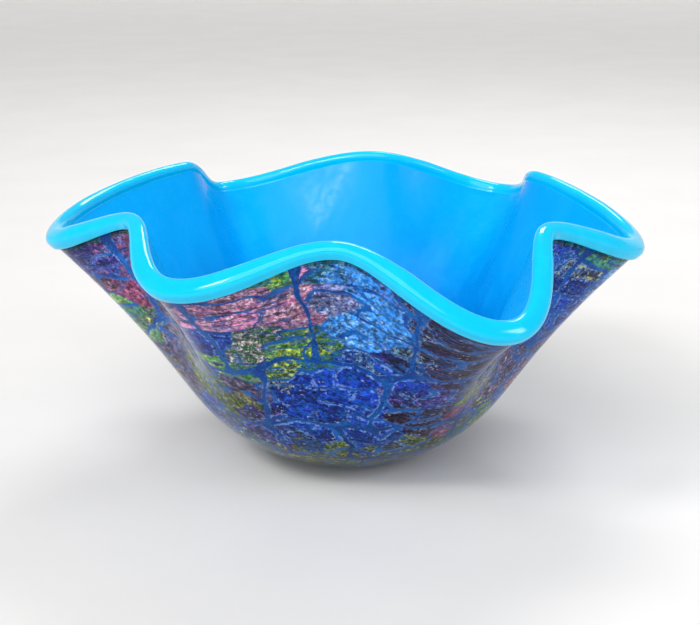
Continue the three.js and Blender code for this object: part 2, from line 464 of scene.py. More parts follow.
@dataclass(frozen=True)
class Sheet:
    """A glass layer: a closed cup between two depths of the wall, in mm.

    The waves are how far each face draws back into the layer, as a hand-made surface does. The tuck
    is how far the top edge runs up into the lip.
    """

    name: str
    inside: float
    outside: float
    inside_wave: float = 0.0
    outside_wave: float = 0.0
    tuck: float = 0.0
    columns: int = 560
    rows_flat: int = 8
    rows_wall: int = 78
    lumps_round: int = 22
    lumps_up: int = 7

    def build(self, wall: Wall) -> bpy.types.Object:
        """Builds the cup.

        Args:
            wall: the wall it follows.

        Returns:
            The cup.
        """
        flat = np.linspace(INNERMOST, 0, self.rows_flat, endpoint=False)
        edge = wall.slant(wall.rim_climb) + self.tuck
        climb = np.concatenate([flat, wall.climb_at(np.linspace(0, edge, self.rows_wall))])
        climb[self.rows_flat] = 0.0
        turn, rise = np.meshgrid(ring_angles(self.columns), climb)
        swell = 0.5 + 0.5 * ring_noise(turn, self.lumps_round, rise * self.lumps_up, Salt.SHEET_SWELL)
        outer = wall.point(turn, rise, self.outside - self.outside_wave * swell)
        inner = wall.point(turn, rise, self.inside + self.inside_wave * swell)
        poles = np.array([[0, 0, wall.flat_height - depth] for depth in (self.outside, self.inside)])
        points = np.concatenate([outer.reshape(-1, 3), inner.reshape(-1, 3), poles])
        return make_object(self.name, points, cup(len(climb), self.columns))


# ------------------------------------------------------------------ the crackled skin's layout


class Frit(Enum):
    """Crushed glass rolled into the skin: its ground, its grain and how pale its broken edges are outlined,
    partly their own paleness and partly a painted highlight.
    """

    PINK = (glass_colour(212, 128, 172), glass_colour(255, 226, 238), 0.2)
    LILAC = (glass_colour(108, 116, 182), glass_colour(208, 212, 244), 0.3)
    LEAF = (glass_colour(58, 132, 62), glass_colour(222, 236, 92), 0.1)
    SKY = (glass_colour(30, 116, 196), glass_colour(150, 210, 240), 0.4)
    COBALT = (glass_colour(4, 44, 152), glass_colour(30, 92, 208), 1.0)
    VIOLET = (glass_colour(34, 30, 116), glass_colour(124, 104, 200), 0.9)
    PLUM = (glass_colour(16, 10, 36), glass_colour(96, 54, 92), 0.6)
    OLIVE = (glass_colour(54, 82, 16), glass_colour(176, 184, 44), 0.1)
    MAROON = (glass_colour(104, 40, 74), glass_colour(214, 120, 156), 0.3)
    MAUVE = (glass_colour(66, 56, 84), glass_colour(158, 136, 166), 0.4)
    LAGOON = (glass_colour(6, 90, 136), glass_colour(108, 200, 204), 0.4)

    def at(self, *places: Triple) -> list[FritPatch]:
        """Patches of this frit, each given by azimuth in degrees, climb and reach in mm."""
        return [FritPatch(*place, self) for place in places]


@dataclass(frozen=True)
class FritPatch:
    """A place where one frit was laid: azimuth in degrees, climb, reach in mm and the frit."""

    azimuth: float
    climb: float
    size: float
    frit: Frit


# one line or two for each side: left flare, front left, front, front right, right, back, low all round
FRIT_PATCHES = (
    *Frit.VIOLET.at((186, 0.94, 20), (197, 0.95, 14), (225, 0.86, 18), (240, 0.46, 20), (291, 0.70, 18)),
    *Frit.VIOLET.at((38, 0.95, 20), (104, 0.48, 24), (0, 0.25, 26)),
    *Frit.MAROON.at((199, 0.90, 16), (232, 0.96, 18), (306, 0.47, 16), (348, 0.60, 20), (80, 0.66, 22)),
    *Frit.LEAF.at((196, 0.83, 18), (248, 0.80, 22), (259, 0.77, 18), (253, 0.99, 9), (337, 0.97, 13)),
    *Frit.LEAF.at((33, 0.66, 24), (92, 0.93, 20), (134, 0.56, 24), (320, 0.36, 22), (225, 0.18, 22)),
    *Frit.MAUVE.at((208, 0.80, 16), (205, 0.66, 20), (240, 0.70, 13), (322, 0.60, 22), (336, 0.74, 20)),
    *Frit.PINK.at((245, 0.94, 30), (258, 0.92, 22)),
    *Frit.PINK.at((6, 0.95, 22), (72, 0.94, 20), (146, 0.92, 20), (172, 0.66, 22)),
    *Frit.LILAC.at((266, 0.92, 12)),
    *Frit.SKY.at((276, 0.95, 24), (274, 0.86, 20), (352, 0.92, 22)),
    *Frit.SKY.at((52, 0.92, 22), (100, 0.76, 22), (132, 0.94, 18)),
    *Frit.LAGOON.at((265, 0.99, 12), (318, 0.90, 14), (24, 0.92, 18), (166, 0.92, 20)),
    *Frit.COBALT.at((182, 0.82, 20), (238, 0.86, 14), (254, 0.62, 20), (264, 0.68, 18), (277, 0.74, 22)),
    *Frit.COBALT.at((268, 0.53, 22), (255, 0.45, 20), (280, 0.42, 18), (336, 0.89, 26), (350, 0.45, 22)),
    *Frit.COBALT.at((14, 0.78, 24), (60, 0.74, 24), (76, 0.40, 24), (122, 0.80, 22), (152, 0.72, 24)),
    *Frit.COBALT.at((214, 0.38, 22), (60, 0.20, 26), (180, 0.22, 26), (320, 0.14, 24)),
    *Frit.PLUM.at((289, 0.96, 20), (296, 0.90, 22), (303, 0.96, 16), (290, 0.82, 20), (303, 0.80, 18)),
    *Frit.PLUM.at((290, 0.62, 12), (296, 0.52, 14), (20, 0.45, 24), (112, 0.95, 22), (160, 0.46, 24)),
    *Frit.OLIVE.at((222, 0.66, 20), (229, 0.56, 20), (258, 0.22, 26), (311, 0.70, 15), (298, 0.34, 20)),
    *Frit.OLIVE.at((282, 0.24, 22), (48, 0.45, 24), (190, 0.45, 24), (120, 0.22, 26)),
)


@dataclass(frozen=True)
class Bend:
    """One octave of the cracks' wandering: its fineness, its reach along and up, and its two salts."""

    fineness: int
    along: float
    up: float
    salt_along: Salt
    salt_up: Salt


BENDS = (
    Bend(1, 0.26, 0.34, Salt.BEND_ALONG, Salt.BEND_UP),
    Bend(3, 0.10, 0.12, Salt.BEND_ALONG_FINE, Salt.BEND_UP_FINE),
    Bend(9, 0.035, 0.045, Salt.BEND_ALONG_RAGGED, Salt.BEND_UP_RAGGED),
)


@dataclass(frozen=True)
class Shards:
    """What the skin is like at places on the wall.

    Edge is mm to the nearest crack's border, below 0 inside the crack. Tone is a share that differs
    from shard to shard. Frit and grain number the frits of the ground and of the grains.
    """

    edge: Array
    tone: Array
    frit: Array
    grain: Array


@dataclass
class Crazing:
    """The web of cracks that breaks each plate into shards, and the frit of each shard.

    Healed is the share of cracks that closed again, and unbroken is how far their shards run on.
    """

    wall: Wall
    columns: int = 36
    foot_height: float = 8.0
    rim_height: float = 11.5
    jitter: float = 0.9
    finest: float = 0.14
    widest: float = 1.7
    width_power: float = 1.6
    foot_opening: float = 0.45
    healed: float = 0.3
    unbroken: float = 4.0
    shard_hold: float = 0.6
    mixed_share: float = 0.4
    drift_lumps: int = 64
    drift_step: float = 9.0
    drift: float = 5.0
    drift_fine: float = 2.5
    patches: tuple[FritPatch, ...] = FRIT_PATCHES

    def __post_init__(self) -> None:
        """Lays out the rows of shards, which grow taller toward the rim."""
        slant = self.wall.table_slant
        share = slant / slant[-1]
        self.height = self.foot_height + (self.rim_height - self.foot_height) * share
        steps = np.diff(slant) / ((self.height[1:] + self.height[:-1]) / 2)
        self.table_row = np.concatenate([[0.0], np.cumsum(steps)])

    def frit_at(self, azimuth: Array, slant: Array) -> tuple[Array, Array]:
        """The nearest and the second nearest frit.

        Args:
            azimuth: radians.
            slant: mm up the mean section.

        Returns:
            Numbers in the list of frits.
        """
        frits = list(Frit)
        radius = self.wall.section(self.wall.climb_at(slant))[..., 0]
        x, y = azimuth / TURN * self.drift_lumps, slant / self.drift_step
        drift = self.drift * soft_noise(x, y, self.drift_lumps, Salt.FRIT_DRIFT)
        drift = drift + self.drift_fine * soft_noise(4 * x, 4 * y, 4 * self.drift_lumps, Salt.FRIT_DRIFT_FINE)
        first, second = np.full(azimuth.shape, 1e9), np.full(azimuth.shape, 1e9)
        best, next_best = np.zeros(azimuth.shape, int), np.zeros(azimuth.shape, int)
        for patch in self.patches:
            turn = np.mod(azimuth - math.radians(patch.azimuth) + math.pi, TURN) - math.pi
            up = slant - self.wall.slant(patch.climb)
            away = np.hypot(turn * radius + drift, up - drift) / patch.size
            number = frits.index(patch.frit)
            closer = away < first
            between = ~closer & (away < second)
            second = np.where(closer, first, np.where(between, away, second))
            next_best = np.where(closer, best, np.where(between, number, next_best))
            first = np.where(closer, away, first)
            best = np.where(closer, number, best)
        return best, next_best

    def seeds_near(self, x: Array, y: Array) -> Iterator[tuple[Array, Array, Array]]:
        """Goes through the lattice cells around each place.

        Args:
            x: lattice steps along.
            y: lattice steps up.

        Yields:
            A cell's column, its row and where its seed lies, along and up.
        """
        home_x, home_y = np.floor(x).astype(np.int64), np.floor(y).astype(np.int64)
        for shift_y in range(-2, 3):
            for shift_x in range(-2, 3):
                column, row = home_x + shift_x, home_y + shift_y
                turn = np.mod(column, self.columns)
                along = column + 0.5 + self.jitter * (scatter(turn, row, Salt.SEED_ALONG) - 0.5)
                up = row + 0.5 + self.jitter * (scatter(turn, row, Salt.SEED_UP) - 0.5)
                yield column, row, np.stack([along, up], -1)

    def lattice(self, azimuth: Array, slant: Array) -> tuple[Array, Array]:
        """Places on the wall in lattice steps, bent so that cracks wander.

        Args:
            azimuth: radians.
            slant: mm up the mean section.

        Returns:
            Steps along and up.
        """
        x = azimuth / TURN * self.columns
        y = np.interp(slant, self.wall.table_slant, self.table_row)
        bent_x, bent_y = x, y
        for bend in BENDS:
            place = (bend.fineness * x, bend.fineness * y, bend.fineness * self.columns)
            bent_x = bent_x + bend.along * soft_noise(*place, bend.salt_along)
            bent_y = bent_y + bend.up * soft_noise(*place, bend.salt_up)
        return bent_x, bent_y

    def own_shard(self, x: Array, y: Array) -> tuple[Array, Array]:
        """The shard that each place lies in.

        Args:
            x: lattice steps along.
            y: lattice steps up.

        Returns:
            The shard's cell and its seed, each with along and up on the last axis.
        """
        nearest = np.full(x.shape, 1e9)
        own = np.zeros(x.shape + (2,), np.int64)
        own_seed = np.zeros(x.shape + (2,))
        for column, row, seed in self.seeds_near(x, y):
            away = (seed[..., 0] - x) ** 2 + (seed[..., 1] - y) ** 2
            closer = away < nearest
            nearest = np.where(closer, away, nearest)
            own = np.where(closer[..., None], np.stack([column, row], -1), own)
            own_seed = np.where(closer[..., None], seed, own_seed)
        return own, own_seed

    def border(self, x: Array, y: Array, own: Array, own_seed: Array, slant: Array) -> Array:
        """How far each place is from the nearest crack's border.

        Args:
            x: lattice steps along.
            y: lattice steps up.
            own: the shard's cell.
            own_seed: the shard's seed.
            slant: mm up the mean section.

        Returns:
            The distance in mm, below 0 inside the crack.
        """
        climb = self.wall.climb_at(slant)
        wide = self.wall.section(climb)[..., 0] * TURN / self.columns
        high = np.interp(slant, self.wall.table_slant, self.height)
        opened = self.foot_opening + (1 - self.foot_opening) * climb
        own_turn = np.mod(own[..., 0], self.columns)
        edge = np.full(x.shape, 1e9)
        for column, row, seed in self.seeds_near(x, y):
            apart = seed - own_seed
            length = np.linalg.norm(apart, axis=-1)
            other = length > 1e-9
            unit = apart / np.where(other, length, 1)[..., None]
            steps = (((own_seed + seed) / 2 - np.stack([x, y], -1)) * unit).sum(-1)
            distance = steps / np.hypot(unit[..., 0] / wide, unit[..., 1] / high)
            turn = np.mod(column, self.columns)
            pair = scatter(turn + own_turn, row + own[..., 1], Salt.CRACK_WIDTH)
            broken = np.maximum(pair - self.healed, 0) / (1 - self.healed)
            width = (self.finest + (self.widest - self.finest) * broken**self.width_power) * opened
            width = np.where(pair < self.healed, -self.unbroken, width)
            edge = np.where(other, np.minimum(edge, distance - width), edge)
        return edge

    def read(self, azimuth: Array, slant: Array) -> Shards:
        """What the skin is like at places on the wall.

        Args:
            azimuth: radians.
            slant: mm up the mean section.

        Returns:
            The shards there.
        """
        x, y = self.lattice(azimuth, slant)
        own, own_seed = self.own_shard(x, y)
        own_turn = np.mod(own[..., 0], self.columns)
        seed_slant = np.interp(own_seed[..., 1], self.table_row, self.wall.table_slant)
        seed_azimuth = own_seed[..., 0] / self.columns * TURN
        hold = self.shard_hold
        held_azimuth = hold * seed_azimuth + (1 - hold) * azimuth
        frit, grain = self.frit_at(held_azimuth, hold * seed_slant + (1 - hold) * slant)
        mixed = scatter(own_turn, own[..., 1], Salt.SHARD_MIX) < self.mixed_share
        edge = self.border(x, y, own, own_seed, slant)
        tone = scatter(own_turn, own[..., 1], Salt.SHARD_TONE)
        return Shards(edge, tone, frit, np.where(mixed, grain, frit))


# ------------------------------------------------------------------ shader helpers

Socket = bpy.types.NodeSocket


@dataclass(frozen=True)
class Cloud:
    """Cloudy noise and the band of it that shows.

    Scale is lumps per mm. The noise is mapped smoothly from low and high onto least and most.
    """

    scale: float
    low: float
    high: float
    detail: float = 3.0
    distortion: float = 0.0
    least: float = 0.0
    most: float = 1.0


class Nodes:
    """A node tree being written, with short calls for adding and joining nodes."""

    def __init__(self, tree: bpy.types.NodeTree) -> None:
        """Starts from an empty tree."""
        self.tree = tree
        tree.nodes.clear()

    def feed(self, node: bpy.types.Node, inputs: dict) -> None:
        """Sets or joins a node's inputs.

        Args:
            node: the node.
            inputs: values, colours of three channels or sockets, by socket name or number.
        """
        for name, value in inputs.items():
            if isinstance(value, Socket):
                self.tree.links.new(value, node.inputs[name])
            elif isinstance(value, tuple) and node.inputs[name].type == "RGBA":
                node.inputs[name].default_value = (*value, 1.0)
            else:
                node.inputs[name].default_value = value

    def add(self, kind: str, inputs: dict | None = None, **settings: object) -> bpy.types.Node:
        """Adds a node.

        Args:
            kind: the node's type name, without its ShaderNode prefix.
            inputs: what its inputs get.
            settings: the node's own settings.

        Returns:
            The new node.
        """
        node = self.tree.nodes.new(kind if kind.startswith("Node") else "ShaderNode" + kind)
        for name, value in settings.items():
            setattr(node, name, value)
        self.feed(node, inputs or {})
        return node

    def math(self, operation: str, a: object, b: object) -> Socket:
        """A sum, product or other operation on two numbers."""
        return self.add("Math", {0: a, 1: b}, operation=operation).outputs[0]

    def times(self, a: object, b: object) -> Socket:
        """The product of two numbers."""
        return self.math("MULTIPLY", a, b)

    def plus(self, a: object, b: object) -> Socket:
        """The sum of two numbers."""
        return self.math("ADD", a, b)

    def band(self, value: object, low: object, high: object, least: float = 0.0, most: float = 1.0) -> Socket:
        """Maps a number smoothly from one range onto another.

        Args:
            value: the number.
            low: where the range starts; it may be above its end.
            high: where the range ends.
            least: what low becomes.
            most: what high becomes.

        Returns:
            The mapped number, held between least and most.
        """
        inputs = {"Value": value, "From Min": low, "From Max": high, "To Min": least, "To Max": most}
        return self.add("MapRange", inputs, interpolation_type="SMOOTHSTEP").outputs[0]

    def mix(self, factor: object, a: object, b: object, blend: str = "MIX") -> Socket:
        """Mixes colour b over colour a."""
        node = self.add("Mix", {}, data_type="RGBA", blend_type=blend)
        self.feed(node, {0: factor, 6: a, 7: b})
        return node.outputs[2]

    def noise(self, vector: Socket, scale: object, detail: float = 3.0, distortion: float = 0.0) -> Socket:
        """Cloudy noise from 0 to 1."""
        inputs = {"Vector": vector, "Scale": scale, "Detail": detail, "Distortion": distortion}
        return self.add("TexNoise", inputs).outputs["Fac"]

    def cloud(self, vector: Socket, cloud: Cloud) -> Socket:
        """The band of noise that a cloud describes."""
        noise = self.noise(vector, cloud.scale, cloud.detail, cloud.distortion)
        return self.band(noise, cloud.low, cloud.high, cloud.least, cloud.most)

    def read(self, name: str, output: str = "Fac") -> Socket:
        """Reads what a mesh stores on its vertices."""
        return self.add("Attribute", attribute_name=name).outputs[output]

    def stretch(self, vector: Socket, factors: Triple) -> Socket:
        """A vector with each axis multiplied."""
        return self.add("VectorMath", {0: vector, 1: factors}, operation="MULTIPLY").outputs[0]

    def place(self) -> Socket:
        """The place on the piece, in mm."""
        return self.stretch(self.add("TexCoord").outputs["Object"], (1 / MM, 1 / MM, 1 / MM))

    def height(self, place: Socket) -> Socket:
        """The height of a place."""
        return self.add("SeparateXYZ", {0: place}).outputs[2]

    def shade(self, colour: object, share: Socket) -> Socket:
        """A colour made darker or lighter by a share."""
        grey = self.add("CombineColor", {0: share, 1: share, 2: share}).outputs[0]
        return self.mix(1.0, colour, grey, "MULTIPLY")

    def bump(self, strength: float, depth: float, height: Socket) -> Socket:
        """Normals of a relief that is this many mm deep."""
        inputs = {"Strength": strength, "Distance": depth * MM, "Height": height}
        return self.add("Bump", inputs).outputs[0]


class Effect(Enum):
    """Effects that several glasses share, each a node group."""

    GRANULES = "granules"
    HAIR_CRACKS = "hair_cracks"
    FURNACE_WAVES = "furnace_waves"
    SEEDS = "seed_bubbles"


class EffectLibrary:
    """Builds each shared effect once and places it in materials."""

    def __init__(self) -> None:
        """Builds the four groups."""
        self.groups = {
            Effect.GRANULES: self.granules(),
            Effect.HAIR_CRACKS: self.hair_cracks(),
            Effect.FURNACE_WAVES: self.furnace_waves(),
            Effect.SEEDS: self.seeds(),
        }

    @staticmethod
    def start(effect: Effect, output: str, **inputs: float) -> tuple[Nodes, dict[str, Socket], Socket]:
        """Opens a group with a Vector input and named sockets.

        Args:
            effect: the effect it holds.
            output: the output's name.
            inputs: each other input's default, by name.

        Returns:
            The node writer, the group's inputs by name and the socket of its output.
        """
        tree = bpy.data.node_groups.new(effect.value, "ShaderNodeTree")
        tree.interface.new_socket(name="Vector", in_out="INPUT", socket_type="NodeSocketVector")
        for name, default in inputs.items():
            socket = tree.interface.new_socket(name=name, in_out="INPUT", socket_type="NodeSocketFloat")
            socket.default_value = default
        tree.interface.new_socket(name=output, in_out="OUTPUT", socket_type="NodeSocketFloat")
        nodes = Nodes(tree)
        given, result = nodes.add("NodeGroupInput"), nodes.add("NodeGroupOutput")
        return nodes, {name: given.outputs[name] for name in ("Vector", *inputs)}, result.inputs[output]

    def granules(self) -> bpy.types.NodeTree:
        """Crushed-glass grains: 1 on a grain. Size is in mm, Cover is the share covered."""
        nodes, given, result = self.start(Effect.GRANULES, "Grain", Size=1.0, Cover=0.5)
        scale = nodes.math("DIVIDE", 0.62, given["Size"])
        crumbs = nodes.noise(given["Vector"], scale, distortion=0.5)
        low = nodes.math("SUBTRACT", 0.64, nodes.times(given["Cover"], 0.28))
        body = nodes.band(crumbs, low, nodes.plus(low, 0.06))
        cells = nodes.add("TexVoronoi", {"Vector": given["Vector"], "Scale": scale, "Randomness": 1.0})
        facet = nodes.add("SeparateColor", {0: cells.outputs["Color"]}).outputs[0]
        faceted = nodes.times(body, nodes.band(facet, 0.0, 1.0, 0.45, 1.0))
        nodes.tree.links.new(faceted, result)
        return nodes.tree

    def hair_cracks(self) -> bpy.types.NodeTree:
        """Fine cracks: 1 on a crack. Spacing and Width are in mm."""
        nodes, given, result = self.start(Effect.HAIR_CRACKS, "Crack", Spacing=5.0, Width=0.3)
        wander = nodes.add("TexNoise", {"Vector": given["Vector"], "Scale": 0.35, "Detail": 3.0})
        offset = nodes.stretch(wander.outputs["Color"], (4.0, 4.0, 4.0))
        bent = nodes.add("VectorMath", {0: given["Vector"], 1: offset}, operation="ADD").outputs[0]
        line = self.spots(nodes, bent, given["Spacing"], given["Width"], feature="DISTANCE_TO_EDGE")
        nodes.tree.links.new(line, result)
        return nodes.tree

    def furnace_waves(self) -> bpy.types.NodeTree:
        """Slow waves of fire-polished glass, as a height from 0 to 1. Length is in mm."""
        nodes, given, result = self.start(Effect.FURNACE_WAVES, "Height", Length=20.0)
        scale = nodes.math("DIVIDE", 1.0, given["Length"])
        nodes.tree.links.new(nodes.noise(given["Vector"], scale, 1.5, 0.4), result)
        return nodes.tree

    def seeds(self) -> bpy.types.NodeTree:
        """Tiny bubbles under the surface: 1 in a bubble. Spacing and Size are in mm."""
        nodes, given, result = self.start(Effect.SEEDS, "Bubble", Spacing=6.0, Size=0.35)
        bubble = self.spots(nodes, given["Vector"], given["Spacing"], given["Size"], feature="F1")
        nodes.tree.links.new(bubble, result)
        return nodes.tree

    @staticmethod
    def spots(nodes: Nodes, vector: Socket, spacing: Socket, size: Socket, feature: str) -> Socket:
        """Marks what lies near the cells' seeds or edges.

        Args:
            nodes: the group's nodes.
            vector: places, in mm.
            spacing: mm between cells.
            size: how far the mark reaches, in mm.
            feature: what the distance is taken to.

        Returns:
            1 on the seed or the edge, fading to 0 at the size.
        """
        scale = nodes.math("DIVIDE", 1.0, spacing)
        cells = nodes.add("TexVoronoi", {"Vector": vector, "Scale": scale}, feature=feature)
        return nodes.band(nodes.times(cells.outputs["Distance"], spacing), size, 0.0)

    def use(self, nodes: Nodes, effect: Effect, place: Socket, **inputs: float) -> Socket:
        """Places an effect in a material.

        Args:
            nodes: the material's nodes.
            effect: which effect.
            place: places, in mm.
            inputs: values for the group's other inputs.

        Returns:
            The group's output.
        """
        node = nodes.add("Group", node_tree=self.groups[effect])
        nodes.feed(node, {"Vector": place, **inputs})
        return node.outputs[0]


def open_material(name: str) -> tuple[bpy.types.Material, Nodes]:
    """A new material with an empty node tree."""
    made = bpy.data.materials.new(name)
    made.use_nodes = True
    return made, Nodes(made.node_tree)


# ------------------------------------------------------------------ finishes


@dataclass(frozen=True)
class CasedGlass:
    """Opaque, fire-polished coloured glass: the lining and the lip.

    Its colour is painted darker toward the bottom as shade: deep at the low height, bright at the high one,
    in mm.
    """

    name: str
    bright: Rgb
    deep: Rgb
    low: float
    high: float
    roughness: float
    wave: float
    gloss: float
    drift_scale: float = 0.022
    drift: float = 34.0
    streak: Cloud = Cloud(0.09, 0.42, 0.72, detail=4.0, distortion=1.2)
    bubble_spacing: float = 9.0
    bubble_size: float = 0.45
    wave_length: float = 26.0

    def build(self, effects: EffectLibrary) -> bpy.types.Material:
        """Builds the material: painted shade that deepens the colour toward the bottom, with streaks, waves
        and bubbles.

        Args:
            effects: the shared effects.

        Returns:
            The material.
        """
        made, nodes = open_material(self.name)
        place = nodes.place()
        # painted shade: the colour deepens toward the bottom, along a wandering height
        drift = nodes.times(nodes.noise(place, self.drift_scale, 2.0), self.drift)
        level = nodes.band(nodes.plus(nodes.height(place), drift), self.low, self.high)
        colour = nodes.mix(level, self.deep, self.bright)
        paler = tuple(min(1.0, value * 1.12 + 0.01) for value in self.bright)
        streak = nodes.cloud(nodes.stretch(place, (1.0, 1.0, 0.18)), self.streak)
        colour = nodes.mix(nodes.times(streak, nodes.band(level, 0.0, 1.0, 0.07, 0.28)), colour, paler)
        bubble = effects.use(nodes, Effect.SEEDS, place, Spacing=self.bubble_spacing, Size=self.bubble_size)
        colour = nodes.mix(nodes.times(bubble, 0.35), colour, paler)
        polish = Cloud(0.25, 0.3, 0.8, least=self.roughness * 0.8, most=self.roughness * 1.5)
        waves = effects.use(nodes, Effect.FURNACE_WAVES, place, Length=self.wave_length)
        relief = nodes.plus(waves, nodes.times(bubble, 0.02))
        inputs = {
            "Base Color": colour,
            "Roughness": nodes.cloud(place, polish),
            "IOR": 1.5,
            "Specular IOR Level": self.gloss,
            "Normal": nodes.bump(1.0, self.wave, relief),
        }
        shader = nodes.add("BsdfPrincipled", inputs)
        nodes.add("OutputMaterial", {"Surface": shader.outputs[0]})
        return made


@dataclass(frozen=True)
class PaintedFootShade:
    """Painted shade: how the colour is made darker toward the foot, between two heights in mm."""

    darkest: float
    low: float = 4.0
    high: float = 78.0

    def read(self, nodes: Nodes, place: Socket) -> Socket:
        """The share of light at a place."""
        return nodes.band(nodes.height(place), self.low, self.high, self.darkest, 1.0)


@dataclass(frozen=True)
class CobaltCasing:
    """The blue casing seen at the bottom of the cracks."""

    name: str = "cobalt_casing"
    deep: Rgb = glass_colour(4, 64, 150)
    bright: Rgb = glass_colour(8, 104, 190)
    crack: Rgb = glass_colour(4, 52, 136)
    grain: Rgb = glass_colour(60, 150, 224)
    cloud: Cloud = Cloud(0.07, 0.32, 0.68, detail=4.0, distortion=0.6)
    # painted shade: the blue is made darker toward the foot
    foot: PaintedFootShade = PaintedFootShade(0.3)
    gloss: float = 0.06

    def build(self, effects: EffectLibrary) -> bpy.types.Material:
        """Builds the material: clouded blue with fine lines where it was stretched, and painted shade toward
        the foot.

        Args:
            effects: the shared effects.

        Returns:
            The material.
        """
        made, nodes = open_material(self.name)
        place = nodes.place()
        colour = nodes.mix(nodes.cloud(place, self.cloud), self.deep, self.bright)
        crack = effects.use(nodes, Effect.HAIR_CRACKS, place, Spacing=3.2, Width=0.35)
        colour = nodes.mix(nodes.times(crack, 0.55), colour, self.crack)
        grain = effects.use(nodes, Effect.GRANULES, place, Size=0.9, Cover=0.22)
        colour = nodes.mix(nodes.times(grain, 0.5), colour, self.grain)
        # painted shade: darker toward the foot
        colour = nodes.shade(colour, self.foot.read(nodes, place))
        normal = nodes.bump(0.4, 0.2, crack)
        inputs = {"Base Color": colour, "Roughness": 0.45, "Specular IOR Level": self.gloss, "Normal": normal}
        shader = nodes.add("BsdfPrincipled", inputs)
        nodes.add("OutputMaterial", {"Surface": shader.outputs[0]})
        return made


class SkinMarks:
    """What the plates store on their vertices, as sockets, and the place on the piece."""

    def __init__(self, nodes: Nodes) -> None:
        """Reads every mark."""
        self.place = nodes.place()
        self.ground, self.grain = nodes.read("ground", "Color"), nodes.read("grain", "Color")
        self.edge, self.tone, self.below_lip = nodes.read("edge"), nodes.read("tone"), nodes.read("below_lip")
        self.flow, self.lace = nodes.read("flow", "Vector"), nodes.read("lace")


